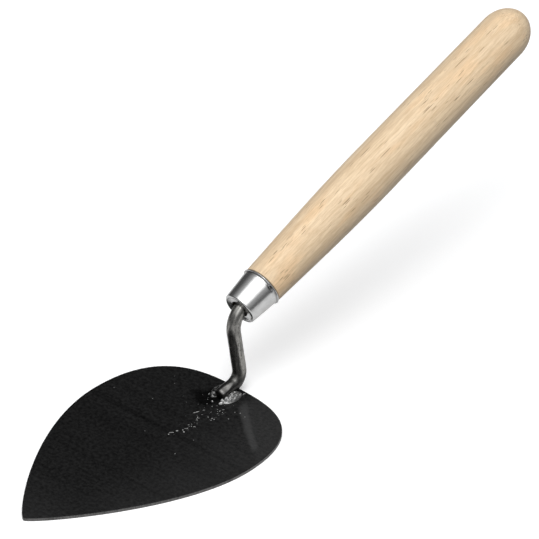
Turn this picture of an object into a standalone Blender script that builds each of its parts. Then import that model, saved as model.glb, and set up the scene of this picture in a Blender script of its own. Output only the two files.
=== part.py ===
"""Brick trowel: a heart-shaped blade, a bent bar tang welded to it, a drawn ferrule and a turned handle.

Metres, +Z up. The blade's underside lies on z = 0 with its tip towards -Y, and the handle rises towards +Y.
The origin is on the underside, below the middle of the welds. The trowel is symmetric about x = 0.
"""

from math import cos, pi, radians, sin, tan

import bmesh
import bpy
from mathutils import Vector
from mathutils.geometry import interpolate_bezier

# Driving dimensions, in metres
GAP = 0.0003  # left between neighbouring pieces

BLADE_LENGTH = 0.178
BLADE_WIDTH = 0.127
BLADE_THICKNESS = 0.0020
HEEL_Y = 0.010  # the heel's distance behind the middle of the welds
WIDEST_TO_HEEL = 0.0565
SIDE_FULLNESS = 0.0539  # reach of the outline's handles at its widest point, towards the tip
HEEL_FULLNESS = 0.0242  # half-length of the outline's handles at the heel
TIP_FULLNESS = 0.0054  # the same at the tip, which blunts it

BAR_DIAMETER = 0.0085
SEAT_DEPTH = 0.0008  # how much of the bar is pressed flat under the foot
FOOT_FRONT_Y = -0.0050
FOOT_TO_SHANK = 0.0178  # from the foot's cut end to where its line meets the shank's
SHANK_LENGTH = 0.0481  # between the corners of the two bends
SHANK_LEAN = radians(6.7)  # forwards, from the vertical
FOOT_BEND_RADIUS = 0.0080  # of the bar's centre line
NECK_BEND_RADIUS = 0.0145
SPIKE_LENGTH = 0.071  # part of the tang that is driven into the handle
SPIKE_TIP_DIAMETER = 0.0030

HANDLE_LIFT = radians(19.4)  # of the handle's axis above the blade
CORNER_TO_RIM = 0.0273  # along that axis, from the neck bend's corner to the ferrule's wide rim

FERRULE_LENGTH = 0.0206
FERRULE_REAR_DIAMETER = 0.0255
FERRULE_FRONT_DIAMETER = 0.0215
FERRULE_WALL = 0.0008
FERRULE_HOLE_DIAMETER = 0.0116
FERRULE_CORNER_RADIUS = 0.0013
RIM_BEAD_LENGTH = 0.0020
RIM_BEAD_HEIGHT = 0.0007

WOOD_LENGTH = 0.2391  # from the ferrule's rim to the end of the butt
WOOD_SHOULDER_DIAMETER = 0.0257
WOOD_GRIP_DIAMETER = 0.03144
WOOD_BUTT_DIAMETER = 0.0303
GRIP_FROM_RIM = 0.101  # where the handle is thickest
NECK_SWELL = 0.0012  # radius gained over the first NECK_CONE_REACH of the neck's curve
NECK_CONE_REACH = 0.031
GRIP_REACH = 0.038  # how far the grip's own radius holds on towards the neck
BUTT_DOME_LENGTH = 0.019
TENON_LENGTH = 0.015

WELD_LENGTH = 0.0150
WELD_REACH = 0.0089  # from the trowel's centre line to the bead's outer toe
WELD_HEIGHT = 0.0032  # above the blade

BAR_RADIUS = BAR_DIAMETER / 2
TIP_Y = HEEL_Y - BLADE_LENGTH
SEAT_Z = BLADE_THICKNESS + GAP
BAR_Z = SEAT_Z + BAR_RADIUS - SEAT_DEPTH
HANDLE_DIRECTION = Vector((0, cos(HANDLE_LIFT), sin(HANDLE_LIFT)))
ROUND_STEPS = 40  # facets around a turned piece
WELD_DISTANCE = 1e-6
SMOOTH_ANGLE = radians(35)


def clear_scene():
    for obj in list(bpy.data.objects):
        bpy.data.objects.remove(obj)


def new_collection(name):
    collection = bpy.data.collections.new(name)
    bpy.context.scene.collection.children.link(collection)
    return collection


def new_material(name, color, roughness, metallic):
    material = bpy.data.materials.new(name)
    material.use_nodes = True
    shader = material.node_tree.nodes["Principled BSDF"]
    shader.inputs["Base Color"].default_value = (*color, 1)
    shader.inputs["Roughness"].default_value = roughness
    shader.inputs["Metallic"].default_value = metallic
    return material


def new_object(name, data, collection, material=None):
    obj = bpy.data.objects.new(name, data)
    collection.objects.link(obj)
    if material:
        data.materials.append(material)
    return obj


def smooth(mesh):
    mesh.shade_smooth()
    mesh.set_sharp_from_angle(angle=SMOOTH_ANGLE)


def rounded_path(corners, bend_radii, steps=8):
    """The polyline through corners, with each inner corner replaced by an arc of its bend radius."""
    path = [corners[0]]
    inner = zip(corners, corners[1:], corners[2:], bend_radii)
    for before, corner, after, radius in inner:
        into = (corner - before).normalized()
        out = (after - corner).normalized()
        turn = into.angle(out)
        start = corner - into * radius * tan(turn / 2)
        centre_side = (out - into * into.dot(out)).normalized()
        for i in range(steps + 1):
            angle = turn * i / steps
            path.append(start + into * radius * sin(angle) + centre_side * radius * (1 - cos(angle)))
    path.append(corners[-1])
    return path


def bar_curve(name, points, radii):
    """A round bar along points: a poly spline, whose bevel follows the radius at each point."""
    data = bpy.data.curves.new(name, "CURVE")
    data.dimensions = "3D"
    data.bevel_depth = 1.0
    data.bevel_resolution = 6
    data.use_fill_caps = True
    spline = data.splines.new("POLY")
    spline.points.add(len(points) - 1)
    for point, place, radius in zip(spline.points, points, radii):
        point.co = (*place, 1)
        point.radius = radius
    return data


def mesh_from_curve(name, data, collection, material=None):
    """A mesh object of the curve, with its caps welded to its sides."""
    curve = new_object(name + "_curve", data, collection)
    graph = bpy.context.evaluated_depsgraph_get()
    mesh = bpy.data.meshes.new_from_object(curve.evaluated_get(graph))
    place = curve.matrix_world.copy()
    bpy.data.objects.remove(curve)
    shape = bmesh.new()
    shape.from_mesh(mesh)
    bmesh.ops.remove_doubles(shape, verts=shape.verts, dist=WELD_DISTANCE)
    shape.to_mesh(mesh)
    shape.free()
    obj = new_object(name, mesh, collection, material)
    obj.matrix_world = place
    return obj


def turned(name, profile, collection, material):
    """A surface of revolution about its own Z, from (radius, z) points that run down its outer side."""
    shape = bmesh.new()
    verts = [shape.verts.new((r, 0, z)) for r, z in profile]
    for a, b in zip(verts, verts[1:]):
        shape.edges.new((a, b))
    mesh = bpy.data.meshes.new(name)
    shape.to_mesh(mesh)
    shape.free()
    obj = new_object(name, mesh, collection, material)
    screw = obj.modifiers.new("Turn", "SCREW")
    screw.steps = screw.render_steps = ROUND_STEPS
    screw.use_merge_vertices = True
    screw.merge_threshold = WELD_DISTANCE
    screw.use_smooth_shade = True
    return obj


def cut(obj, cutter):
    boolean = obj.modifiers.new("Cut " + cutter.name, "BOOLEAN")
    boolean.operation = "DIFFERENCE"
    boolean.object = cutter


def hide_as_cutter(obj):
    obj.hide_render = True
    obj.display_type = "WIRE"


# The blade

def make_blade(collection, material):
    """A flat plate: four curve points, whose handles give the blunt tip, full sides and round heel."""
    half_width = BLADE_WIDTH / 2
    widest_y = HEEL_Y - WIDEST_TO_HEEL
    forward = Vector((0, -SIDE_FULLNESS, 0))
    backward = Vector((0, WIDEST_TO_HEEL, 0))
    tip_reach = Vector((TIP_FULLNESS, 0, 0))
    heel_reach = Vector((HEEL_FULLNESS, 0, 0))
    outline = (
        (Vector((0, TIP_Y, 0)), -tip_reach, tip_reach),
        (Vector((half_width, widest_y, 0)), forward, backward),
        (Vector((0, HEEL_Y, 0)), heel_reach, -heel_reach),
        (Vector((-half_width, widest_y, 0)), backward, forward),
    )
    data = bpy.data.curves.new("blade", "CURVE")
    data.dimensions = "2D"
    data.fill_mode = "BOTH"
    data.extrude = BLADE_THICKNESS / 2
    data.resolution_u = 24
    spline = data.splines.new("BEZIER")
    spline.use_cyclic_u = True
    spline.bezier_points.add(len(outline) - 1)
    for point, (place, left, right) in zip(spline.bezier_points, outline):
        point.co = place
        point.handle_left_type = point.handle_right_type = "FREE"
        point.handle_left = place + left
        point.handle_right = place + right
    blade = new_object("blade", data, collection, material)
    blade.location.z = BLADE_THICKNESS / 2
    return blade


# The tang

def tang_corners():
    """Where the foot, the shank and the handle's axis meet, from the foot's cut end to the spike's tip."""
    foot_end = Vector((0, FOOT_FRONT_Y, BAR_Z))
    foot_corner = foot_end + Vector((0, FOOT_TO_SHANK, 0))
    neck_corner = foot_corner + SHANK_LENGTH * Vector((0, -sin(SHANK_LEAN), cos(SHANK_LEAN)))
    spike_start = neck_corner + HANDLE_DIRECTION * CORNER_TO_RIM
    spike_end = spike_start + HANDLE_DIRECTION * SPIKE_LENGTH
    return foot_end, foot_corner, neck_corner, spike_start, spike_end


def tang_curve(name, extra):
    """The bent bar, extra thicker all round, drawn down to a spike from the ferrule's rim on."""
    foot_end, foot_corner, neck_corner, spike_start, spike_end = tang_corners()
    corners = (foot_end, foot_corner, neck_corner, spike_start)
    bends = rounded_path(corners, (FOOT_BEND_RADIUS, NECK_BEND_RADIUS))
    radii = [BAR_RADIUS + extra] * len(bends) + [SPIKE_TIP_DIAMETER / 2 + extra]
    return bar_curve(name, bends + [spike_end], radii)


def make_seat_cutter(collection):
    """A block that ends one gap above the blade, which cuts the foot and the welds flat underneath."""
    block_side = 0.060
    bpy.ops.mesh.primitive_cube_add(size=block_side, location=(0, 0, SEAT_Z - block_side / 2))
    block = bpy.context.object
    block.name = "seat_cutter"
    for old in list(block.users_collection):
        old.objects.unlink(block)
    collection.objects.link(block)
    hide_as_cutter(block)
    return block


def make_tang(collection, material, seat_cutter):
    tang = mesh_from_curve("tang", tang_curve("tang", 0), collection, material)
    smooth(tang.data)
    cut(tang, seat_cutter)
    return tang


# The welds

def make_bar_cutter(collection):
    bar = mesh_from_curve("bar_cutter", tang_curve("bar_cutter", GAP), collection)
    hide_as_cutter(bar)
    return bar


def make_weld(name, side, collection, material, seat_cutter, bar_cutter):
    """A fillet bead between the foot and the blade, on the +X side or, with side -1, on the -X side."""
    bead_width = WELD_REACH - BAR_RADIUS
    shape = bmesh.new()
    bmesh.ops.create_uvsphere(shape, u_segments=20, v_segments=12, radius=1)
    bmesh.ops.scale(shape, verts=shape.verts, vec=(bead_width, WELD_LENGTH / 2, WELD_HEIGHT))
    mesh = bpy.data.meshes.new(name)
    shape.to_mesh(mesh)
    shape.free()
    smooth(mesh)
    weld = new_object(name, mesh, collection, material)
    weld.location = (side * BAR_RADIUS, 0, SEAT_Z)
    cut(weld, seat_cutter)
    cut(weld, bar_cutter)
    return weld


# The ferrule and the handle, along the handle's own axis: z = 0 at the ferrule's wide rim

def ferrule_radius(z):
    """Outer radius of the ferrule's cone, z above its rim (so negative inside the ferrule)."""
    taper = (FERRULE_REAR_DIAMETER - FERRULE_FRONT_DIAMETER) / 2 / FERRULE_LENGTH
    return FERRULE_REAR_DIAMETER / 2 + taper * z


def make_handle_axis(collection):
    """An empty at the centre of the ferrule's wide rim, its Z along the handle."""
    axis = bpy.data.objects.new("handle_axis", None)
    collection.objects.link(axis)
    axis.location = tang_corners()[3]
    axis.rotation_euler.x = HANDLE_LIFT - pi / 2
    return axis


def make_ferrule(collection, material, axis):
    """A drawn cup: a rolled rim, a tapered wall, a rounded corner and an end with a hole for the tang."""
    bead_steps = 8
    profile = []
    for i in range(bead_steps + 1):
        z = -RIM_BEAD_LENGTH * i / bead_steps
        profile.append((ferrule_radius(z) + RIM_BEAD_HEIGHT * sin(pi * i / bead_steps), z))
    corner_steps = 5
    corner_z = FERRULE_CORNER_RADIUS - FERRULE_LENGTH
    corner_r = ferrule_radius(corner_z) - FERRULE_CORNER_RADIUS
    for i in range(corner_steps + 1):
        angle = pi / 2 * i / corner_steps
        r = corner_r + FERRULE_CORNER_RADIUS * cos(angle)
        profile.append((r, corner_z - FERRULE_CORNER_RADIUS * sin(angle)))
    profile.append((FERRULE_HOLE_DIAMETER / 2, -FERRULE_LENGTH))
    ferrule = turned("ferrule", profile, collection, material)
    wall = ferrule.modifiers.new("Wall", "SOLIDIFY")
    wall.thickness = FERRULE_WALL
    wall.offset = -1
    wall.use_even_offset = True
    ferrule.parent = axis
    return ferrule


def wood_outline():
    """The handle's visible outline, from the butt's end down to its shoulder at the ferrule."""
    butt_radius = WOOD_BUTT_DIAMETER / 2
    grip_radius = WOOD_GRIP_DIAMETER / 2
    shoulder_radius = WOOD_SHOULDER_DIAMETER / 2
    dome_z = WOOD_LENGTH - BUTT_DOME_LENGTH
    dome_steps = 9
    outline = []
    for i in range(dome_steps + 1):
        angle = pi / 2 * i / dome_steps
        outline.append((butt_radius * sin(angle), dome_z + BUTT_DOME_LENGTH * cos(angle)))
    grip = Vector((grip_radius, GRIP_FROM_RIM, 0))
    neck_reach = Vector((grip_radius, GRIP_FROM_RIM - GRIP_REACH, 0))
    cone_reach = Vector((shoulder_radius + NECK_SWELL, NECK_CONE_REACH, 0))
    shoulder = Vector((shoulder_radius, GAP, 0))
    neck_points = 9
    neck = interpolate_bezier(grip, neck_reach, cone_reach, shoulder, neck_points)
    return outline + [(point.x, point.y) for point in neck]


def make_handle(collection, material, axis):
    """Turned wood: the grip, a tenon inside the ferrule and a blind bore that follows the tang's spike."""
    clearance = FERRULE_WALL + GAP
    bore_radius = BAR_RADIUS + GAP
    bore_end_z = SPIKE_LENGTH + GAP
    tenon = [
        (ferrule_radius(0) - clearance, GAP),
        (ferrule_radius(-TENON_LENGTH) - clearance, -TENON_LENGTH),
    ]
    bore = [
        (bore_radius, -TENON_LENGTH),
        (bore_radius, 0),
        (SPIKE_TIP_DIAMETER / 2 + GAP, bore_end_z),
        (0, bore_end_z),
    ]
    handle = turned("handle", wood_outline() + tenon + bore, collection, material)
    handle.parent = axis
    return handle


def main():
    clear_scene()
    parts = new_collection("brick_trowel")
    cutters = new_collection("cutters")
    blued_steel = new_material("blued_steel", (0.015, 0.015, 0.016), 0.45, 0.6)
    bar_steel = new_material("bar_steel", (0.09, 0.09, 0.09), 0.4, 0.8)
    weld_metal = new_material("weld_metal", (0.35, 0.35, 0.36), 0.45, 0.9)
    bright_steel = new_material("bright_steel", (0.75, 0.75, 0.76), 0.2, 1)
    beech = new_material("beech", (0.74, 0.55, 0.36), 0.55, 0)
    seat_cutter = make_seat_cutter(cutters)
    bar_cutter = make_bar_cutter(cutters)
    handle_axis = make_handle_axis(parts)
    make_blade(parts, blued_steel)
    make_tang(parts, bar_steel, seat_cutter)
    make_weld("weld_right", 1, parts, weld_metal, seat_cutter, bar_cutter)
    make_weld("weld_left", -1, parts, weld_metal, seat_cutter, bar_cutter)
    make_ferrule(parts, bright_steel, handle_axis)
    make_handle(parts, beech, handle_axis)


main()
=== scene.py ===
"""The looks of a brick trowel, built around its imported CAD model.

Metres, +Z up, in the frame of the CAD. The blade's underside lies on z = 0, its tip points to -Y, and
the handle rises towards +Y. Every piece stands for one CAD node, apart from the weld's spatter, which has
none of its own.
"""

import random
from math import cos, pi, radians, sin, tan

import bmesh
import bpy
import numpy as np
from mathutils import Matrix, Vector, noise


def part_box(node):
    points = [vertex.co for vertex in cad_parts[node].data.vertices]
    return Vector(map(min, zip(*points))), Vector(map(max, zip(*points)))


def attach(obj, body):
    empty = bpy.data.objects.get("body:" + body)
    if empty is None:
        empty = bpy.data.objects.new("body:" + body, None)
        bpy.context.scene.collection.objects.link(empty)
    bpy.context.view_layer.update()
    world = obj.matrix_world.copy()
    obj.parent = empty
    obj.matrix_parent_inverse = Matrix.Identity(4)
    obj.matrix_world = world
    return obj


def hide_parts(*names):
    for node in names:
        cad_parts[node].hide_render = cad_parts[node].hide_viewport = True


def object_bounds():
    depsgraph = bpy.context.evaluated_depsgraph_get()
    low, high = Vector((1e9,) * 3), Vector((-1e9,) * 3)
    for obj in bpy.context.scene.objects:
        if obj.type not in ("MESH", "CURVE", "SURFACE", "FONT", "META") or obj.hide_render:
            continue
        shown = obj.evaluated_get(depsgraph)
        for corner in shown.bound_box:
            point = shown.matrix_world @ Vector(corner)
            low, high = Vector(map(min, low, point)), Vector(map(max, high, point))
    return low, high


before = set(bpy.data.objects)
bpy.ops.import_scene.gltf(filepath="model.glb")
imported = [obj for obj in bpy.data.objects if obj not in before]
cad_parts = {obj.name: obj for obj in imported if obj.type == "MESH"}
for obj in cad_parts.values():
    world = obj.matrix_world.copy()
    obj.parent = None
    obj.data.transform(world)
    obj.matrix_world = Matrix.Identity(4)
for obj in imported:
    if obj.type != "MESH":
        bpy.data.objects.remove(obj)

CAD_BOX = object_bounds()
MM = 0.001

# The camera, at the photograph's viewing angle
CAMERA_AZIMUTH = radians(45.59)
CAMERA_ELEVATION = radians(34.04)
CAMERA_ROLL = radians(-2.27)
CAMERA_DISTANCE = 8.013
CAMERA_LENS = 912.14  # mm
FRAMING_RIGHT = -0.0038  # from the CAD box's middle to the middle of the picture
FRAMING_UP = -0.0064

# The tang's centre line, which its CAD node holds only as facets, and its forged foot
FOOT_TO_SHANK = 0.0178  # from the foot's cut end to where its line meets the shank's
SHANK_LEAN = radians(6.7)
FOOT_BEND_RADIUS = 0.0080
NECK_BEND_RADIUS = 0.0145
SEAT_DEPTH = 0.0008  # how much of the bar is pressed flat under the foot
FOOT_DROOP = 0.22  # how much thinner the foot is forged at its front end
FOOT_FLAT = radians(61)  # which way the foot's long flat faces, from +X towards up

FERRULE_WALL = 0.0008

KEY_DIRECTION = Vector((0.28, -0.27, 0.93))  # towards the middle of the overhead light


# Reading the CAD

def node_points(node):
    """The CAD node's vertices, each place once."""
    points = np.array([vertex.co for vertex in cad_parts[node].data.vertices])
    return np.unique(points.round(7), axis=0)


def find_handle_frame():
    """The handle's frame: z along its axis to the butt, y downwards, origin amid the ferrule's wide rim."""
    wood = node_points("handle")
    centre = Vector(wood.mean(axis=0))
    along = Vector(np.linalg.svd(wood - wood.mean(axis=0))[2][0])
    if along.y < 0:
        along.negate()
    rim = max((Vector(point) - centre).dot(along) for point in node_points("ferrule"))
    across = Vector((1, 0, 0))
    turn = Matrix((across, along.cross(across), along)).transposed()
    return Matrix.Translation(centre + along * rim) @ turn.to_4x4()


HANDLE_FRAME = find_handle_frame()


def stations(node):
    """Each (radius, z) of a turned CAD node, in the handle's frame, lowest first."""
    same = 0.03 * MM
    to_handle = HANDLE_FRAME.inverted()
    places = [to_handle @ Vector(point) for point in node_points(node)]
    found = []
    for radius, z in sorted(((place.xy.length, place.z) for place in places), key=lambda place: place[1]):
        if all(abs(radius - r) > same or abs(z - other_z) > same for r, other_z in found):
            found.append((radius, z))
    return found


# Meshes

def smooth_through(points, steps, closed=False):
    """A smooth curve through points, with steps places to each span. Nearer neighbours steer it more."""
    points = np.asarray(points, float)
    if closed:
        points = np.vstack((points[-1:], points, points[:2]))
    else:
        before = 2 * points[0] - points[1]
        after = 2 * points[-1] - points[-2]
        points = np.vstack((before, points, after))
    spans = np.linalg.norm(np.diff(points, axis=0), axis=1)[:, None]
    slopes = np.diff(points, axis=0) / spans
    tangents = (slopes[:-1] * spans[1:] + slopes[1:] * spans[:-1]) / (spans[:-1] + spans[1:])
    curve = []
    ends = zip(points[1:], points[2:], tangents, tangents[1:], spans[1:])
    for start, end, leaving, arriving, span in ends:
        for t in np.arange(steps) / steps:
            curve.append(
                (1 + 2 * t) * (1 - t) ** 2 * start
                + t * (1 - t) ** 2 * span * leaving
                + t * t * (3 - 2 * t) * end
                - t * t * (1 - t) * span * arriving
            )
    if not closed:
        curve.append(points[-2])
    return np.array(curve)


def new_piece(name, vertices, faces, material, node=None):
    """A mesh object on the trowel's body, which stands for the CAD node when one is named."""
    mesh = bpy.data.meshes.new(name)
    mesh.from_pydata([tuple(vertex) for vertex in vertices], [], faces)
    mesh.materials.append(material)
    mesh.validate()
    shape = bmesh.new()
    shape.from_mesh(mesh)
    bmesh.ops.recalc_face_normals(shape, faces=shape.faces)
    shape.to_mesh(mesh)
    shape.free()
    mesh.shade_smooth()
    piece = bpy.data.objects.new(name, mesh)
    bpy.context.scene.collection.objects.link(piece)
    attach(piece, "root")
    if node:
        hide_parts(node)
    return piece


def store(piece, name, values):
    """Keeps a number or a vector at each vertex for the material to read."""
    values = np.asarray(values, np.float32)
    kind, field = ("FLOAT", "value") if values.ndim == 1 else ("FLOAT_VECTOR", "vector")
    attribute = piece.data.attributes.new(name, kind, "POINT")
    attribute.data.foreach_set(field, values.ravel())


def ring_faces(rings, segments, first=0):
    """Quads between neighbouring rings of a tube."""
    faces = []
    for ring in range(rings - 1):
        low = first + ring * segments
        high = low + segments
        for i in range(segments):
            j = (i + 1) % segments
            faces.append((low + i, low + j, high + j, high + i))
    return faces


def fan_faces(start, segments, centre):
    """Triangles from a ring of vertices to the one at its centre."""
    return [(start + i, start + (i + 1) % segments, centre) for i in range(segments)]


def turned_mesh(profile, segments, closed=False):
    """(vertices, faces) of (radius, z) places turned about z.

    A radius of 0 closes an end, and closed joins the profile's two ends.
    """
    smallest_ring = 1e-7
    vertices = []
    rings = []
    for radius, z in profile:
        count = segments if radius > smallest_ring else 1
        rings.append((len(vertices), count))
        for i in range(count):
            angle = 2 * pi * i / count
            vertices.append((radius * cos(angle), radius * sin(angle), z))
    faces = []
    for (low, low_count), (high, high_count) in zip(rings, rings[1:] + rings[: int(closed)]):
        for i in range(segments):
            j = (i + 1) % segments
            quad = [low + i % low_count, low + j % low_count, high + j % high_count, high + i % high_count]
            faces.append(tuple(dict.fromkeys(quad)))
    return np.array(vertices), faces


def to_row_frame(vertices):
    """Places given in the handle's frame, in the CAD's."""
    turn = np.array(HANDLE_FRAME.to_3x3())
    return np.asarray(vertices) @ turn.T + np.array(HANDLE_FRAME.translation)


# Materials

class Shading:
    """Short forms for the nodes that the finishes and the world share. Lengths are in metres."""

    def __init__(self, tree):
        self.tree = tree

    def add(self, kind, inputs=(), **settings):
        node = self.tree.nodes.new("ShaderNode" + kind)
        for name, value in settings.items():
            setattr(node, name, value)
        for key, value in dict(inputs).items():
            self.feed(node.inputs[key], value)
        return node

    def feed(self, socket, value):
        if isinstance(value, bpy.types.NodeSocket):
            self.tree.links.new(value, socket)
        elif isinstance(value, tuple) and socket.type == "RGBA":
            socket.default_value = (*value, 1)
        else:
            socket.default_value = value

    def place(self, attribute=None):
        """Where the shaded point is: a stored vector, or its place in the row frame."""
        if attribute:
            return self.add("Attribute", attribute_name=attribute).outputs["Vector"]
        return self.add("TexCoord").outputs["Object"]

    def stored(self, attribute):
        """A number stored at each vertex."""
        return self.add("Attribute", attribute_name=attribute).outputs["Fac"]

    def scaled(self, vector, size):
        """vector in units of size, given for each axis."""
        scale = tuple(1 / length for length in size)
        inputs = {"Vector": vector, "Scale": scale}
        return self.add("Mapping", inputs, vector_type="POINT").outputs["Vector"]

    def noise(self, vector, size, detail=2.0, roughness=0.5):
        """Smooth noise from 0 to 1, with lumps about size across for each axis."""
        inputs = {
            "Vector": self.scaled(vector, size),
            "Scale": 1.0,
            "Detail": detail,
            "Roughness": roughness,
        }
        return self.add("TexNoise", inputs).outputs["Fac"]

    def spots(self, vector, size):
        """Distance to the nearest of scattered points, in units of size."""
        inputs = {"Vector": self.scaled(vector, size), "Scale": 1.0}
        return self.add("TexVoronoi", inputs).outputs["Distance"]

    def levels(self, value, low, high, to_low=0.0, to_high=1.0):
        """value, eased: to_low where it is low or beyond, and to_high where it is high or beyond."""
        inputs = {"Value": value, "From Min": low, "From Max": high, "To Min": to_low, "To Max": to_high}
        return self.add("MapRange", inputs, interpolation_type="SMOOTHSTEP").outputs["Result"]

    def maths(self, operation, a, b=0.0):
        return self.add("Math", {0: a, 1: b}, operation=operation).outputs[0]

    def plus(self, a, b):
        return self.maths("ADD", a, b)

    def minus(self, a, b):
        return self.maths("SUBTRACT", a, b)

    def times(self, a, b):
        return self.maths("MULTIPLY", a, b)

    def length(self, a, b):
        """The length of a vector with the components a and b."""
        return self.maths("SQRT", self.plus(self.maths("POWER", a, 2.0), self.maths("POWER", b, 2.0)))

    def blend(self, factor, a, b):
        """Colour a where factor is 0 and colour b where it is 1."""
        node = self.add("Mix", data_type="RGBA")
        # A Mix node's sockets share names between its data types, so its colours go by number.
        self.feed(node.inputs[0], factor)
        self.feed(node.inputs[6], a)
        self.feed(node.inputs[7], b)
        return node.outputs[2]

    def split(self, vector):
        """The vector's x, y and z."""
        return self.add("SeparateXYZ", {"Vector": vector}).outputs

    def bump(self, height, depth):
        """A relief of the given depth where height goes from 0 to 1."""
        inputs = {"Height": height, "Distance": depth, "Strength": 1.0}
        return self.add("Bump", inputs).outputs["Normal"]


class Finish(Shading):
    """A material, whose surface is one Principled shader."""

    def __init__(self, name):
        self.material = bpy.data.materials.new(name)
        self.material.use_nodes = True
        super().__init__(self.material.node_tree)
        self.surface = self.tree.nodes["Principled BSDF"]

    def set(self, **inputs):
        """Feeds the shader's inputs, named with _ for each space."""
        for name, value in inputs.items():
            self.feed(self.surface.inputs[name.replace("_", " ")], value)


def pale_wood():
    """Turned hardwood: soft streaks along the grain, faint growth rings, fibres and short dark pores.

    A thin painted shadow line marks the gap at its joint with the ferrule, at z = 0 in the handle's frame.
    """
    finish = Finish("pale_wood")
    place = finish.place("grain_place")
    streaks = finish.noise(place, (2.6 * MM, 2.6 * MM, 42 * MM), detail=4, roughness=0.6)
    colour = finish.blend(finish.levels(streaks, 0.32, 0.68), (0.71, 0.535, 0.342), (0.86, 0.68, 0.462))
    warmth = finish.noise(place, (9 * MM, 9 * MM, 34 * MM), detail=2)
    colour = finish.blend(finish.levels(warmth, 0.48, 0.72, 0, 0.6), colour, (0.89, 0.61, 0.35))
    late_wood = growth_rings(finish, place)
    colour = finish.blend(finish.times(late_wood, 0.25), colour, (0.62, 0.43, 0.25))
    fibres = finish.noise(place, (0.5 * MM, 0.5 * MM, 8 * MM), detail=3, roughness=0.7)
    colour = finish.blend(finish.levels(fibres, 0.60, 0.36, 0, 0.5), colour, (0.56, 0.39, 0.23))
    patches = finish.levels(finish.noise(place, (5 * MM, 5 * MM, 22 * MM), detail=3), 0.42, 0.62)
    fine_pores = pore_marks(finish, place, (0.85 * MM, 0.85 * MM, 14 * MM), patches, 0.24)
    long_pores = pore_marks(finish, place, (1.5 * MM, 1.5 * MM, 34 * MM), patches, 0.18)
    pores = finish.maths("MAXIMUM", fine_pores, long_pores)
    colour = finish.blend(finish.times(pores, 0.85), colour, (0.30, 0.185, 0.10))
    # Painted shadow: a thin dark line on the wood where it meets the ferrule, standing in for the gap's
    # shade.
    joint_gap_shadow = finish.levels(finish.split(place)[2], 0.9 * MM, 0.3 * MM, 0, 0.85)
    colour = finish.blend(joint_gap_shadow, colour, (0.10, 0.06, 0.035))
    finish.set(
        Base_Color=colour,
        Roughness=finish.levels(fibres, 0.3, 0.7, 0.66, 0.50),
        Specular_IOR_Level=0.4,
        Sheen_Weight=0.18,
        Sheen_Roughness=0.5,
        Normal=finish.bump(finish.minus(finish.times(fibres, 0.6), pores), 0.05 * MM),
    )
    return finish.material


def growth_rings(finish, place):
    """Late wood, from 0 to 1, in wandering rings about a pith outside the handle."""
    pith = (19 * MM, 9 * MM, 0)
    ring_width = 3.2 * MM
    wander_rings = 3.0
    across = finish.split(finish.add("VectorMath", {0: place, 1: pith}, operation="SUBTRACT").outputs[0])
    from_pith = finish.length(across[0], across[1])
    wander = finish.noise(place, (12 * MM, 12 * MM, 150 * MM), detail=1)
    count = finish.plus(finish.times(from_pith, 1 / ring_width), finish.times(wander, wander_rings))
    return finish.levels(finish.maths("FRACT", count), 0.35, 0.95)


def pore_marks(finish, place, cell, patches, reach):
    """Dark dashes, 1 inside, one to a cell, missing where patches is 0 and widest where it is 1."""
    inside = finish.minus(finish.spots(place, cell), finish.times(patches, reach))
    return finish.levels(inside, 0.03, -0.06)


def bright_ferrule():
    """Polished drawn steel: fine lines round it, faint handling marks, and painted shade in its groove, dent
    and fold.
    """
    finish = Finish("bright_ferrule")
    place = finish.place("grain_place")
    lines = finish.noise(place, (9 * MM, 9 * MM, 0.12 * MM), detail=2, roughness=0.6)
    smudges = finish.noise(place, (4 * MM, 4 * MM, 6 * MM), detail=4, roughness=0.6)
    colour = finish.blend(finish.levels(smudges, 0.3, 0.7), (0.72, 0.72, 0.715), (0.62, 0.62, 0.615))
    polish = finish.levels(smudges, 0.3, 0.75, 0.13, 0.22)
    finish.set(
        # Painted shade: darker colour in the rim's groove, the stake dent and the end's fold.
        Base_Color=finish.blend(finish.stored("recess_shade"), colour, (0.05, 0.048, 0.045)),
        Metallic=1.0,
        Roughness=finish.plus(polish, finish.levels(lines, 0.3, 0.7, 0.0, 0.05)),
        Normal=finish.bump(finish.plus(lines, smudges), 0.005 * MM),
    )
    return finish.material


def bar_steel():
    """Hot-worked bar: satin, with darker scale along it, black near the weld, and painted lighter on the
    foot's flat as a highlight.
    """
    finish = Finish("bar_steel")
    place = finish.place("bar_place")
    streaks = finish.noise(place, (1.2 * MM, 1.2 * MM, 9 * MM), detail=3, roughness=0.6)
    scale = finish.noise(place, (0.9 * MM, 0.9 * MM, 1.4 * MM), detail=4, roughness=0.65)
    colour = finish.blend(finish.levels(streaks, 0.3, 0.7), (0.17, 0.168, 0.16), (0.42, 0.41, 0.385))
    colour = finish.blend(finish.levels(scale, 0.48, 0.70, 0, 0.7), colour, (0.07, 0.069, 0.066))
    colour = finish.blend(finish.times(finish.stored("soot"), 0.85), colour, (0.02, 0.02, 0.02))
    # Painted highlight: the foot's flat is coloured lighter than the sooty bar around it.
    flat_highlight_mask = finish.times(finish.stored("flat_highlight"), finish.levels(streaks, 0.25, 0.6, 0.45, 0.95))
    colour = finish.blend(flat_highlight_mask, colour, (0.155, 0.152, 0.147))
    finish.set(
        Base_Color=colour,
        Metallic=1.0,
        Roughness=finish.levels(scale, 0.3, 0.7, 0.24, 0.42),
        Normal=finish.bump(finish.plus(scale, streaks), 0.035 * MM),
    )
    return finish.material


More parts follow.
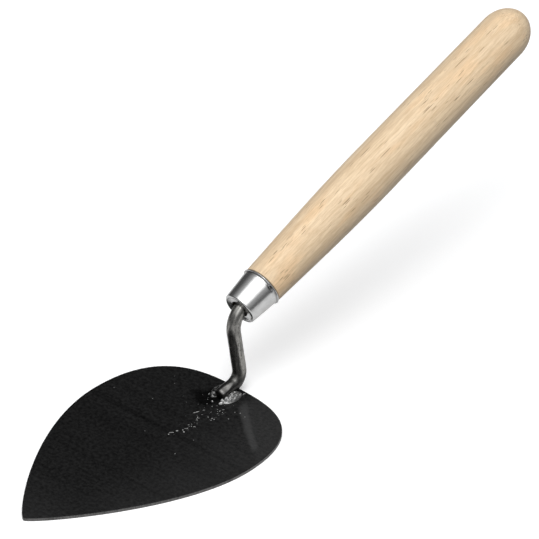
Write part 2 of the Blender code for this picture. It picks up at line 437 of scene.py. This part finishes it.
def weld_metal():
    """Weld: silver on its ripples, dull and sooty in the hollows."""
    finish = Finish("weld_metal")
    grain = finish.noise(finish.place(), (0.7 * MM, 0.7 * MM, 0.7 * MM), detail=4, roughness=0.65)
    soot = finish.levels(finish.stored("soot"), 0.20, 0.80)
    colour = finish.blend(finish.levels(grain, 0.3, 0.7), (0.24, 0.24, 0.24), (0.47, 0.47, 0.46))
    finish.set(
        Base_Color=finish.blend(soot, colour, (0.015, 0.015, 0.015)),
        Metallic=0.95,
        Roughness=finish.plus(finish.levels(grain, 0.3, 0.7, 0.32, 0.5), finish.times(soot, 0.2)),
        Normal=finish.bump(grain, 0.08 * MM),
    )
    return finish.material


def black_plate():
    """Rolled plate under black scale: faint rolling lines across it, speckle, and soot round the weld."""
    finish = Finish("black_plate")
    place = finish.place()
    speckle = finish.noise(place, (2.4 * MM, 2.0 * MM, 2 * MM), detail=4, roughness=0.8)
    lines = finish.noise(place, (60 * MM, 3.2 * MM, 10 * MM), detail=4, roughness=0.6)
    clouds = finish.noise(place, (30 * MM, 16 * MM, 10 * MM), detail=3)
    black = (0.0010, 0.0010, 0.0010)
    colour = finish.blend(finish.levels(speckle, 0.35, 0.68), black, (0.0090, 0.0090, 0.0090))
    bands = rolling_bands(finish, place, clouds)
    dark_lines = finish.maths("MAXIMUM", finish.levels(lines, 0.50, 0.68, 0, 0.4), bands)
    colour = finish.blend(finish.times(dark_lines, 0.8), colour, black)
    # Painted sheen: a lighter streak, heel, side and tip on the black scale.
    colour = finish.blend(painted_sheen(finish, place, clouds), colour, (0.060, 0.060, 0.060))
    soot = weld_soot(finish, place)
    rough = finish.plus(finish.levels(clouds, 0.3, 0.7, 0.36, 0.44), finish.levels(speckle, 0.3, 0.7, 0, 0.1))
    shine = finish.minus(finish.levels(speckle, 0.30, 0.70, 0.10, 0.30), finish.times(dark_lines, 0.08))
    finish.set(
        Base_Color=finish.blend(soot, colour, (0.0008, 0.0008, 0.0008)),
        Metallic=0.0,
        Roughness=finish.plus(rough, finish.times(soot, 0.4)),
        Specular_IOR_Level=finish.times(shine, finish.levels(soot, 0, 1, 1.0, 0.25)),
        Normal=finish.bump(finish.plus(finish.times(speckle, 0.6), lines), 0.012 * MM),
    )
    return finish.material


def rolling_bands(finish, place, clouds):
    """Darker bands of scale right across the plate, from 0 to 1, uneven along their length."""
    # Each band's share of the way to the tip, half its width in millimetres, and its strength
    bands = (
        (0.20, 1.4, 0.5),
        (0.292, 2.8, 1.0),
        (0.385, 12, 0.5),
        (0.59, 3, 0.5),
        (0.5, 34, 0.25),
    )
    tip_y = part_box("blade")[0].y
    wander = finish.times(finish.minus(clouds, 0.5), 3 * MM)
    along = finish.plus(finish.split(place)[1], wander)
    darkness = 0.0
    for share, half_width, strength in bands:
        away = finish.maths("ABSOLUTE", finish.minus(along, share * tip_y))
        band = finish.levels(away, half_width * MM, 0.2 * half_width * MM, 0, strength)
        darkness = finish.maths("MAXIMUM", darkness, band)
    return finish.times(darkness, finish.levels(clouds, 0.3, 0.6, 1.0, 0.7))


def painted_sheen(finish, place, clouds):
    """Where the plate is painted lighter, from 0 to 1: a painted sheen that stands in for soft reflections.

    A streak runs from beside the weld to the +X side. The heel beyond it, that side and the tip are
    lighter too.
    """
    across_x, across_y = 0.603, 0.798  # a unit vector square to the streak
    streak_offset = 8.5 * MM  # from the origin to the streak's middle line
    parts = finish.split(place)
    ragged = finish.times(finish.minus(clouds, 0.5), 5 * MM)
    across_streak = finish.plus(finish.times(parts[0], across_x), finish.times(parts[1], across_y))
    from_streak = finish.minus(finish.plus(across_streak, ragged), streak_offset)
    streak = finish.levels(finish.maths("ABSOLUTE", from_streak), 4.8 * MM, 0.8 * MM, 0, 0.55)
    streak = finish.times(streak, finish.levels(parts[0], 57 * MM, 50 * MM))
    beyond = finish.levels(from_streak, -6 * MM, 1 * MM, 0, 0.26)
    clear_of_weld = finish.levels(parts[0], 8 * MM, 20 * MM)
    side = finish.levels(parts[0], -5 * MM, 60 * MM, 0.01, 0.16)
    tip = finish.levels(parts[1], -115 * MM, -165 * MM, 0.0, 0.13)
    heel = finish.times(finish.maths("MAXIMUM", streak, beyond), clear_of_weld)
    return finish.maths("MAXIMUM", heel, finish.maths("MAXIMUM", side, tip))


def weld_soot(finish, place):
    """Soot, from 0 to 1, thickest in front of the foot on its -X side and ragged at its rim."""
    middle_x, middle_y = -5 * MM, -8 * MM
    reach = 15 * MM
    parts = finish.split(place)
    ragged = finish.noise(place, (6 * MM, 6 * MM, 6 * MM), detail=4, roughness=0.7)
    aside = finish.times(finish.minus(parts[0], middle_x), 1 / reach)
    ahead = finish.times(finish.minus(parts[1], middle_y), 1 / reach)
    away = finish.plus(finish.length(aside, ahead), finish.times(finish.minus(ragged, 0.5), 1.8))
    return finish.levels(away, 1.0, 0.35, 0, 0.9)


def sheared_edge():
    """The plate's cut edge: bare grey steel with short marks across its thickness."""
    finish = Finish("sheared_edge")
    place = finish.place()
    marks = finish.noise(place, (0.5 * MM, 0.5 * MM, 3 * MM), detail=3, roughness=0.7)
    patches = finish.noise(place, (9 * MM, 9 * MM, 9 * MM), detail=3)
    colour = finish.blend(finish.levels(marks, 0.3, 0.7), (0.10, 0.098, 0.096), (0.22, 0.215, 0.21))
    finish.set(
        Base_Color=finish.blend(finish.levels(patches, 0.5, 0.75, 0, 0.6), colour, (0.05, 0.049, 0.048)),
        Metallic=0.8,
        Roughness=finish.levels(marks, 0.3, 0.7, 0.38, 0.55),
        Normal=finish.bump(marks, 0.03 * MM),
    )
    return finish.material


# The blade

def blade_outline():
    """The plate's outline, anticlockwise, from the CAD node's top edge."""
    points = node_points("blade")
    edge = np.unique(points[:, :2].round(6), axis=0)
    middle = (edge.min(axis=0) + edge.max(axis=0)) / 2
    angles = np.arctan2(edge[:, 1] - middle[1], edge[:, 0] - middle[0])
    return smooth_through(edge[np.argsort(angles)], 3, closed=True)


def inset(outline, depth):
    """The outline moved inwards by depth."""
    ahead = np.roll(outline, -1, axis=0) - np.roll(outline, 1, axis=0)
    outwards = np.column_stack((ahead[:, 1], -ahead[:, 0]))
    outwards /= np.linalg.norm(outwards, axis=1)[:, None]
    return outline - outwards * depth


def plate_waves(x, y):
    """How high the rolled plate's top lies at a place, 0 or less, from its slight waves."""
    depth = 0.04 * MM
    return depth * (noise.noise(Vector((x, y, 0)) / (38 * MM)) - 1) / 2


def make_blade():
    """The plate: a waved top, a rolled-over upper edge, a sheared side and a slightly rounded lower edge."""
    outline = blade_outline()
    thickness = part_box("blade")[1].z
    segments = len(outline)
    middle = np.array((0.0, outline[:, 1].mean()))
    roll_over = 0.30 * MM
    burr_round = 0.12 * MM
    round_steps = 4
    face_rows = 18
    innermost = 0.04
    side_slope = 0.55  # a face whose normal rises or falls less than this is part of the cut side
    rows = []
    for share in np.linspace(innermost, 1, face_rows):
        rows.append((middle + (inset(outline, roll_over) - middle) * share, thickness))
    for i in range(1, round_steps + 1):
        angle = pi / 2 * i / round_steps
        place = inset(outline, roll_over * (1 - sin(angle)))
        rows.append((place, thickness - roll_over * (1 - cos(angle))))
    for i in range(round_steps + 1):
        angle = pi / 2 * i / round_steps
        place = inset(outline, burr_round * (1 - cos(angle)))
        rows.append((place, burr_round * (1 - sin(angle))))
    for share in np.linspace(1, innermost, face_rows // 2)[1:]:
        rows.append((middle + (inset(outline, burr_round) - middle) * share, 0.0))
    vertices = []
    for place, z in rows:
        for x, y in place:
            dip = plate_waves(x, y) if z == thickness else 0
            vertices.append((x, y, z + dip))
    faces = ring_faces(len(rows), segments)
    for row, z in ((0, thickness + plate_waves(*middle)), (len(rows) - 1, 0.0)):
        vertices.append((*middle, z))
        faces += fan_faces(row * segments, segments, len(vertices) - 1)
    blade = new_piece("blade_plate", vertices, faces, black_plate(), "blade")
    blade.data.materials.append(sheared_edge())
    for face in blade.data.polygons:
        if abs(face.normal.z) < side_slope:
            face.material_index = 1
    blade.data.set_sharp_from_angle(angle=radians(60))


# The tang

def tang_corners():
    """Foot end, foot corner, neck corner and spike end of the bar's centre line."""
    low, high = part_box("tang")
    bar_radius = (high.x - low.x) / 2
    foot_end = Vector((0, low.y, low.z - SEAT_DEPTH + bar_radius))
    foot_corner = foot_end + Vector((0, FOOT_TO_SHANK, 0))
    along = HANDLE_FRAME.col[2].xyz
    rim = HANDLE_FRAME.translation
    up_shank = Vector((0, -sin(SHANK_LEAN), cos(SHANK_LEAN)))
    # The shank's line and the handle's axis meet at the neck corner, both in the plane x = 0.
    gap = rim - foot_corner
    shank_length = (gap.y * along.z - gap.z * along.y) / (up_shank.y * along.z - up_shank.z * along.y)
    neck_corner = foot_corner + up_shank * shank_length
    spike_end = rim + along * max((Vector(p) - rim).dot(along) for p in node_points("tang"))
    return foot_end, foot_corner, neck_corner, spike_end


def rounded_path(corners, bend_radii, spacing):
    """Places about spacing apart along corners, whose inner ones are rounded by arcs."""
    path = []
    straight_from = corners[0]
    for before, corner, after, radius in zip(corners, corners[1:], corners[2:], bend_radii):
        into = (corner - before).normalized()
        out = (after - corner).normalized()
        turn = into.angle(out)
        start = corner - into * radius * tan(turn / 2)
        steps = max(1, round((start - straight_from).length / spacing))
        path += [straight_from.lerp(start, i / steps) for i in range(steps)]
        inwards = (out - into * into.dot(out)).normalized()
        arc_steps = max(4, round(radius * turn / spacing))
        for i in range(arc_steps):
            angle = turn * i / arc_steps
            path.append(start + into * radius * sin(angle) + inwards * radius * (1 - cos(angle)))
        straight_from = corner + out * radius * tan(turn / 2)
    steps = max(1, round((corners[-1] - straight_from).length / spacing))
    path += [straight_from.lerp(corners[-1], i / steps) for i in range(steps + 1)]
    return path


def make_tang():
    """The bar swept along its centre line: a forged foot on a flat seat, two bends and a hidden spike."""
    low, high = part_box("tang")
    bar_radius = (high.x - low.x) / 2
    spike_radius = 1.5 * MM
    nose_length = 2.4 * MM
    nose_ahead = 0.84 * MM  # how far it reaches beyond the CAD's square cut
    forged_length = 11 * MM
    highest_forged = 8 * MM
    lumps_round, lump_length = 1.5, 6 * MM
    lump_height = 0.016  # a share of the bar's radius
    soot_top, soot_fade = 16 * MM, 7 * MM
    flat_highlight_fade = 3.5 * MM
    spacing = 0.8 * MM
    segments = 64
    path = rounded_path(tang_corners(), (FOOT_BEND_RADIUS, NECK_BEND_RADIUS), spacing)
    nose_shares = np.linspace(0, 1, 9) ** 1.6
    nose = [path[0] + Vector((0, share * nose_length - nose_ahead, 0)) for share in nose_shares]
    path = nose + [place for place in path if place.y > nose[-1].y + 0.3 * MM]
    foot_end, foot_back = path[0].y, path[0].y + forged_length
    to_handle = HANDLE_FRAME.inverted()
    spike_length = (to_handle @ path[-1]).z
    vertices = []
    bar_places = []
    soot = []
    flat_highlight = []
    travelled = 0.0
    for i, place in enumerate(path):
        before, after = path[max(i - 1, 0)], path[min(i + 1, len(path) - 1)]
        ahead = (after - before).normalized()
        upper = Vector((1, 0, 0)).cross(ahead)
        radius = bar_radius * nose_share((place.y - foot_end) / nose_length)
        beyond_rim = (to_handle @ place).z
        if beyond_rim > 0:
            radius += (spike_radius - bar_radius) * beyond_rim / spike_length
        travelled += (place - before).length
        on_foot = smooth_step((foot_back - place.y) / forged_length) if place.z < highest_forged else 0.0
        for j in range(segments):
            angle = 2 * pi * j / segments
            around_bar = (lumps_round * cos(angle), lumps_round * sin(angle))
            lump = noise.noise(Vector((*around_bar, travelled / lump_length)))
            across, up, flat = hammered(angle, radius, on_foot)
            around = Vector((across, 0, 0)) + upper * up
            vertex = place + around * (1 + lump * lump_height)
            vertex.z = max(low.z, low.z + (vertex.z - low.z) * (1 - FOOT_DROOP * on_foot))
            vertices.append(vertex)
            bar_places.append((bar_radius * cos(angle), bar_radius * sin(angle), travelled))
            soot.append(smooth_step((soot_top - vertex.z) / soot_fade))
            # A painted highlight along the foot's flat, fainter towards its nose.
            flat_highlight.append(flat * (0.3 + 0.7 * smooth_step((place.y - foot_end) / flat_highlight_fade)))
    faces = ring_faces(len(path), segments)
    for ring in (0, len(path) - 1):
        vertices.append(sum(vertices[ring * segments : (ring + 1) * segments], Vector()) / segments)
        bar_places.append((0, 0, travelled if ring else 0))
        soot.append(1.0)
        flat_highlight.append(0.0)
        faces += fan_faces(ring * segments, segments, len(vertices) - 1)
    tang = new_piece("tang_bar", vertices, faces, bar_steel(), "tang")
    store(tang, "bar_place", bar_places)
    store(tang, "soot", soot)
    store(tang, "flat_highlight", flat_highlight)
    tang.data.set_sharp_from_angle(angle=radians(30))


def smooth_step(share):
    """share eased between 0 and 1, and held there beyond them."""
    share = min(1.0, max(0.0, share))
    return share * share * (3 - 2 * share)


def nose_share(share):
    """How much of the bar's radius is left at a share of the way back from its blunt front end."""
    blunt_end = 0.60
    share = min(1.0, max(0.0, share))
    return blunt_end + (1 - blunt_end) * (1 - (1 - share) ** 2) ** 0.5


def hammered(angle, radius, on_foot):
    """A place (across, up) on the bar's section with the foot's flat, and how much painted highlight the flat
    gets there.
    """
    full_depth = 0.42 * MM
    flat_rim = 0.12 * MM
    depth = full_depth * min(1.0, 1.6 * on_foot)
    facing = (cos(FOOT_FLAT), sin(FOOT_FLAT))
    above = radius * cos(angle - FOOT_FLAT) - (radius - depth)
    across, up = radius * cos(angle), radius * sin(angle)
    if above > 0:
        across -= facing[0] * above
        up -= facing[1] * above
    flat_highlight = smooth_step(above / flat_rim + 0.5) if depth else 0.0
    return across, up, flat_highlight


# The welds and their spatter

def mound(middle, reach, height, relief, soot, turn=0.0, rings=6, segments=14):
    """(vertices, faces, soot) of an oval mound of weld on the plate, closed underneath.

    relief(x, y) gives how far the surface rises at a place, and how much sootier it is there.
    """
    sunk = 0.1 * MM
    full_relief_height = 1.4 * MM  # lower mounds have less relief
    rim_fade = 8  # and it fades over the outer eighth of any mound
    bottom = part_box("blade")[1].z - sunk
    along = Vector((cos(turn), sin(turn)))
    aside = Vector((-sin(turn), cos(turn)))
    places = [(1.0, 0.0, bottom)]
    for ring in range(rings):
        share = 1 - ring / rings
        for j in range(segments):
            places.append((share, 2 * pi * j / segments, None))
    places.append((0.0, 0.0, None))
    vertices = []
    sootiness = []
    for share, angle, z in places:
        flat = Vector(middle) + along * reach[0] * share * cos(angle) + aside * reach[1] * share * sin(angle)
        rise, extra_soot = relief(flat.x, flat.y)
        rise *= min(1.0, rim_fade * (1 - share), height / full_relief_height)
        top = bottom + (height + sunk) * (1 - share**2.2) ** 0.7 + rise
        vertices.append((flat.x, flat.y, top if z is None else z))
        sootiness.append(soot + extra_soot)
    vertices[0] = (*middle, bottom)
    faces = ring_faces(rings, segments, 1)
    faces += fan_faces(1, segments, 0)
    faces += fan_faces(1 + (rings - 1) * segments, segments, len(vertices) - 1)
    return vertices, faces, sootiness


def joined(mounds):
    """Several mounds' (vertices, faces, soot) as one."""
    vertices, faces, sootiness = [], [], []
    for some_vertices, some_faces, some_soot in mounds:
        first = len(vertices)
        vertices += some_vertices
        faces += [tuple(first + i for i in face) for face in some_faces]
        sootiness += some_soot
    return vertices, faces, sootiness


def bead_relief(swirl, seed, hollow_soot=1.0):
    """The relief of a hand-laid bead: lumps, and ripples that run round the swirl's middle in long loops.

    hollow_soot says how much sootier the hollows are than the ripples.
    """
    pitch = 1.45 * MM
    ripple_height, lump_height = 0.80 * MM, 0.34 * MM

    def relief(x, y):
        place = Vector((x, y, seed * MM))
        lump = noise.fractal(place / (2.6 * MM), 0.8, 2.0, 4)
        wobble = noise.noise(place / (2.2 * MM)) * 0.7
        round_swirl = Vector((x - swirl[0], (y - swirl[1]) * 0.5)).length / pitch + wobble
        ripple = abs(2 * (round_swirl % 1) - 1)
        rise = lump_height * lump + ripple_height * (ripple - 0.5)
        return rise, hollow_soot * (1.2 * (0.42 - ripple) - 0.3 * lump)

    return relief


def make_weld(side, metal, soot, hollow_soot):
    """A lumpy bead between the foot and the blade, on the +X side or, with side -1, on the -X side."""
    clearance, toe_spread, half_ripple = 0.3 * MM, 0.4 * MM, 0.4 * MM
    name = "weld_right" if side > 0 else "weld_left"
    low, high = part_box(name)
    plate_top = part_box("blade")[1].z
    bar_side = low.x if side > 0 else high.x
    toe = high.x if side > 0 else low.x
    inner = bar_side + side * clearance
    toe += side * toe_spread
    height = high.z - plate_top - half_ripple
    middle = ((inner + toe) / 2, (low.y + high.y) / 2 - 0.3 * MM)
    reach = (abs(toe - inner) / 2, (high.y - low.y) / 2)
    swirl = (middle[0] + side * 0.4 * MM, middle[1] + 0.8 * MM)
    relief = bead_relief(swirl, side * 4, hollow_soot)
    vertices, faces, sootiness = mound(middle, reach, height, relief, soot, rings=44, segments=120)
    bead = new_piece(name + "_bead", vertices, faces, metal, name)
    store(bead, "soot", sootiness)


def make_spatter(metal):
    """Drops thrown from the weld: large ones beside it, a long one, a trail towards the tip, and fine ones.

    Lengths are in millimetres here, and turns in degrees.
    """
    draw = random.Random(7)
    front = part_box("weld_right")[0].y / MM
    rough = bead_relief((0, 0), 9)
    trail_count, scattered_count, near_count = 44, 44, 36
    drops = []

    def drop(x, y, length, width, height, turn, soot):
        reach = (length * MM / 2, width * MM / 2)
        drops.append(mound((x * MM, y * MM), reach, height * MM, rough, soot, radians(turn)))

    def speck(x, y, length, width, height, least_soot, most_soot):
        turn = draw.uniform(0, 180)
        drop(x, y, length, width, height, turn, draw.uniform(least_soot, most_soot))

    drop(4.6, front - 1.2, 3.6, 2.4, 1.2, 60, 0.0)
    drop(3.4, front + 1.2, 3.4, 2.6, 1.6, 40, -0.2)
    drop(8.0, front + 14.4, 2.6, 1.2, 1.0, 75, 0.35)
    drop(-4.6, front + 0.8, 3.2, 1.8, 1.2, 10, 0.50)
    drop(-7.6, front + 1.4, 2.0, 1.4, 0.8, 80, 0.48)
    drop(-0.8, front - 2.8, 2.2, 1.6, 0.8, 30, 0.38)
    drop(0.1, front - 15.6, 12.5, 0.8, 0.3, 68, 0.53)
    start, bend, end = Vector((3, front - 19)), Vector((12.5, front - 28.5)), Vector((1.5, front - 44.5))
    for i in range(trail_count):
        t = i / (trail_count - 1)
        place = start * (1 - t) ** 2 + bend * 2 * t * (1 - t) + end * t * t
        size = draw.uniform(0.4, 1.1)
        x, y = place.x + draw.gauss(0, 0.9), place.y + draw.gauss(0, 0.9)
        speck(x, y, size * draw.uniform(1, 2.2), size, 0.25 * size, 0.52, 0.70)
    for _ in range(scattered_count):
        away = 9 + 70 * draw.random() ** 2
        turn = radians(draw.uniform(180, 360))
        size = draw.uniform(0.3, 0.9)
        x, y = away * cos(turn) * 0.8, front + 4 + away * sin(turn)
        speck(x, y, size, size * draw.uniform(0.6, 1), 0.25 * size, 0.54, 0.72)
    for _ in range(near_count):
        x, y = draw.uniform(0, 13), front - draw.uniform(4, 17)
        size = draw.uniform(0.4, 1.3)
        speck(x, y, size * draw.uniform(1, 2), size, 0.2 * size, 0.78, 0.90)
    vertices, faces, sootiness = joined(drops)
    spatter = new_piece("weld_spatter", vertices, faces, metal)
    store(spatter, "soot", sootiness)


# The ferrule and the handle

def make_ferrule():
    """A drawn cup: a rolled rim running out in a cove, a tapered wall, a rounded corner, a pierced end."""
    known = stations("ferrule")
    length = -known[0][1]
    hole_radius = min(radius for radius, z in known)
    rear_radius = max(radius for radius, z in known if z > -0.05 * MM)
    corner_radius, corner_z = max(station for station in known if station[1] < -0.9 * length)
    taper = (rear_radius - corner_radius) / -corner_z
    bend = length + corner_z
    bead_length, bead_height = 1.1 * MM, 0.75 * MM
    groove_length, groove_depth = 1.3 * MM, 0.12 * MM
    lip_width, lip_height = 0.9 * MM, 0.35 * MM
    chamfer_width, chamfer_height = 0.3 * MM, 0.2 * MM
    bead_steps, groove_steps, wall_steps, bend_steps, lip_steps = 12, 8, 24, 10, 6

    def wall(z):
        return rear_radius + taper * z

    profile = []
    for i in range(bead_steps + 1):
        z = -bead_length * i / bead_steps
        rounded = sin(pi / 2 * min(1, 3 * i / bead_steps)) ** 0.8
        fall = smooth_step((i / bead_steps - 0.4) / 0.6)
        profile.append((wall(z) + bead_height * rounded * (1 - 0.75 * fall), z))
    for i in range(1, groove_steps + 1):
        z = -bead_length - groove_length * i / groove_steps
        cove = 0.25 * bead_height * (1 - i / groove_steps) ** 2
        profile.append((wall(z) + cove - groove_depth * sin(pi * i / groove_steps), z))
    wall_start = -bead_length - groove_length
    for i in range(1, wall_steps + 1):
        z = wall_start + (corner_z - wall_start) * i / wall_steps
        profile.append((wall(z), z))
    flat_radius = wall(corner_z) - bend
    for i in range(1, bend_steps + 1):
        angle = pi / 2 * i / bend_steps
        profile.append((flat_radius + bend * cos(angle), corner_z - bend * sin(angle)))
    for i in range(1, lip_steps + 1):
        folded_in = lip_height * (1 - cos(pi * i / lip_steps)) / 2
        profile.append((flat_radius - lip_width * (0.4 + 0.6 * i / lip_steps), folded_in - length))
    end_z = lip_height - length
    profile.append((hole_radius + chamfer_width, end_z))
    profile.append((hole_radius, end_z + chamfer_height))
    inside_z = end_z + FERRULE_WALL
    profile.append((hole_radius, inside_z))
    profile.append((wall(inside_z) - FERRULE_WALL, inside_z))
    profile.append((wall(0) - FERRULE_WALL, 0))
    vertices, faces = turned_mesh(profile, 192, closed=True)
    groove_z = -bead_length - 0.1 * groove_length
    # How dark the painted shade makes each vertex in the groove, the dent and the fold.
    recess_shade = press_stake_mark(vertices, groove_z - 0.3 * MM)
    fold_radius = flat_radius - 0.5 * lip_width
    for i, (x, y, z) in enumerate(vertices):
        in_groove = 1 - abs(z - groove_z) / (0.6 * groove_length)
        in_fold = 0
        if z < corner_z - 0.8 * bend:
            in_fold = 1 - abs(np.hypot(x, y) - fold_radius) / (0.6 * lip_width)
        recess_shade[i] = max(recess_shade[i], 0.55 * smooth_step(in_groove), 0.8 * smooth_step(in_fold))
    placed = to_row_frame(vertices)
    ferrule = new_piece("ferrule_cup", placed, faces, bright_ferrule(), "ferrule")
    store(ferrule, "grain_place", vertices)
    store(ferrule, "recess_shade", recess_shade)
    ferrule.data.set_sharp_from_angle(angle=radians(50))


def press_stake_mark(vertices, z):
    """Pushes in the dent that keeps the ferrule on the wood, and returns how much painted shade darkens each
    vertex in and near it.
    """
    angle = radians(-30)
    length, width, depth = 1.5 * MM, 0.8 * MM, 0.9 * MM
    recess_shade = []
    for vertex in vertices:
        radius = np.hypot(*vertex[:2])
        outwards = vertex[:2] / radius
        around = radius * np.arccos(np.clip(outwards @ (cos(angle), sin(angle)), -1, 1))
        share = np.exp(-((around / length) ** 2) - ((vertex[2] - z) / width) ** 2)
        vertex[:2] -= outwards * depth * share
        recess_shade.append(0.95 * smooth_step(1.6 * share))
    return recess_shade


def make_handle():
    """Turned wood: a smoothed neck, a domed butt, a tenon and the spike's bore, from the CAD's stations."""
    known = stations("handle")
    same = 0.01 * MM
    inside_z = -1 * MM  # stations below this are well inside the ferrule
    thinnest_wood = 1 * MM
    shoulder_step = 0.5 * MM
    eased_length, eased_depth = 0.4 * MM, 0.05 * MM
    grip_radius, grip_z = max(known)
    butt_end = known[-1][1]
    side = [(r, z) for r, z in known if 0 < z <= grip_z and r > 0.7 * grip_radius]
    shoulder_z = side[0][1]
    rim = max(s for s in side if s[1] < shoulder_z + same)
    neck = [rim] + [s for s in side if s[1] > shoulder_z + same]
    butt_radius, dome_z = next(station for station in known if station[1] > grip_z)
    dome_steps = 24
    dome = []
    for i in range(dome_steps + 1):
        angle = pi / 2 * i / dome_steps
        dome.append((butt_radius * sin(angle), dome_z + (butt_end - dome_z) * cos(angle)))
    dome[0] = (0.0, butt_end)
    shank_steps = 24
    shank = []
    for i in range(1, shank_steps):
        share = i / shank_steps
        shank.append((butt_radius + (grip_radius - butt_radius) * share, dome_z + (grip_z - dome_z) * share))
    rest = [s for s in known if s not in side and s[1] < grip_z]
    bore_radius = min(r for r, z in rest if z < inside_z)
    tenon = sorted((s for s in rest if s[0] > bore_radius + thinnest_wood), key=lambda s: -s[1])
    shoulder = [(neck[0][0] - shoulder_step, shoulder_z), (tenon[0][0], shoulder_z)]
    tenon = shoulder + [s for s in tenon if s[1] < inside_z]
    bore = sorted((s for s in rest if s[0] <= bore_radius + same), key=lambda s: (round(s[1], 4), -s[0]))
    eased_z = shoulder_z + eased_length
    grip = [tuple(s) for s in smooth_through(neck, 6)[::-1] if s[1] > eased_z]
    grip.append((grip[-1][0] - eased_depth, eased_z))
    profile = dome + shank + grip + tenon + bore
    vertices, faces = turned_mesh(profile, 128)
    handle = new_piece("wood_handle", to_row_frame(vertices), faces, pale_wood(), "handle")
    store(handle, "grain_place", vertices)
    handle.data.set_sharp_from_angle(angle=radians(40))


# The stage

def make_floor():
    """Pale paper under the trowel, which the camera sees brighter than reflections and bounced light do."""
    half = 30.0
    mesh = bpy.data.meshes.new("floor")
    corners = [(-half, -half, 0), (half, -half, 0), (half, half, 0), (-half, half, 0)]
    mesh.from_pydata(corners, [], [(0, 1, 2, 3)])
    finish = Finish("floor_paper")
    ray = finish.add("LightPath").outputs
    to_camera = ray["Is Camera Ray"]
    from_trowel = finish.split(finish.place())
    distance = finish.length(from_trowel[0], from_trowel[1])
    seen_in_metal = finish.blend(finish.levels(distance, 0.22, 0.75), (0.71, 0.71, 0.71), (0.18, 0.18, 0.18))
    to_metal = finish.blend(ray["Is Glossy Ray"], (0.26, 0.275, 0.295), seen_in_metal)
    finish.set(
        Base_Color=finish.blend(to_camera, to_metal, (0.93, 0.93, 0.93)),
        Roughness=0.9,
        Specular_IOR_Level=0.0,
        Emission_Color=(1.0, 1.0, 1.0),
        Emission_Strength=finish.times(to_camera, 0.20),
    )
    mesh.materials.append(finish.material)
    floor = bpy.data.objects.new("floor", mesh)
    bpy.context.scene.collection.objects.link(floor)
    floor.location.z = -0.05 * MM  # just clear of the blade


def make_softbox(name, direction, distance, size, power):
    """A rectangular light that faces the trowel's middle and that the camera doesn't see."""
    light = bpy.data.lights.new(name, "AREA")
    light.shape = "RECTANGLE"
    light.size, light.size_y = size
    light.energy = power
    lamp = bpy.data.objects.new(name, light)
    bpy.context.scene.collection.objects.link(lamp)
    middle = (CAD_BOX[0] + CAD_BOX[1]) / 2
    towards = Vector(direction).normalized()
    lamp.location = middle + towards * distance
    lamp.rotation_mode = "QUATERNION"
    lamp.rotation_quaternion = towards.to_track_quat("Z", "Y")
    lamp.visible_camera = False


def make_world():
    """A dim room with a wide soft glow overhead, which fades out around the key direction."""
    world = bpy.data.worlds.new("studio")
    world.use_nodes = True
    room = Shading(world.node_tree)
    direction = room.add("TexCoord").outputs["Generated"]
    towards = room.add("VectorMath", {0: direction, 1: KEY_DIRECTION.normalized()}, operation="DOT_PRODUCT")
    nearness = towards.outputs["Value"]
    core = room.levels(nearness, cos(radians(46)), cos(radians(21)), 0.0, 1.75)
    halo = room.levels(nearness, cos(radians(82)), cos(radians(36)), 0.0, 0.38)
    background = world.node_tree.nodes["Background"]
    room.feed(background.inputs["Color"], (0.985, 0.99, 1.0))
    room.feed(background.inputs["Strength"], room.plus(room.plus(core, halo), 0.09))
    bpy.context.scene.world = world


def make_camera():
    """A long lens, aimed near the middle of the CAD's box."""
    middle = (CAD_BOX[0] + CAD_BOX[1]) / 2
    back = Vector((
        sin(CAMERA_AZIMUTH) * cos(CAMERA_ELEVATION),
        -cos(CAMERA_AZIMUTH) * cos(CAMERA_ELEVATION),
        sin(CAMERA_ELEVATION),
    ))
    right = Vector((0, 0, 1)).cross(back).normalized()
    upright = Matrix((right, back.cross(right), back)).transposed()
    turn = upright @ Matrix.Rotation(CAMERA_ROLL, 3, "Z")
    aim = middle + turn.col[0] * FRAMING_RIGHT + turn.col[1] * FRAMING_UP
    data = bpy.data.cameras.new("camera")
    data.lens = CAMERA_LENS
    data.clip_end = 2 * CAMERA_DISTANCE
    camera = bpy.data.objects.new("camera", data)
    bpy.context.scene.collection.objects.link(camera)
    camera.matrix_world = Matrix.Translation(aim + back * CAMERA_DISTANCE) @ turn.to_4x4()
    bpy.context.scene.camera = camera


def main():
    make_blade()
    make_tang()
    metal = weld_metal()
    make_weld(1, metal, soot=0.12, hollow_soot=1.0)
    make_weld(-1, metal, soot=0.70, hollow_soot=0.3)
    make_spatter(metal)
    make_ferrule()
    make_handle()
    make_floor()
    make_softbox("overhead_softbox", KEY_DIRECTION, 1.2, (0.5, 0.5), 3.7)
    make_world()
    make_camera()
    bpy.context.scene.view_settings.view_transform = "Standard"


main()
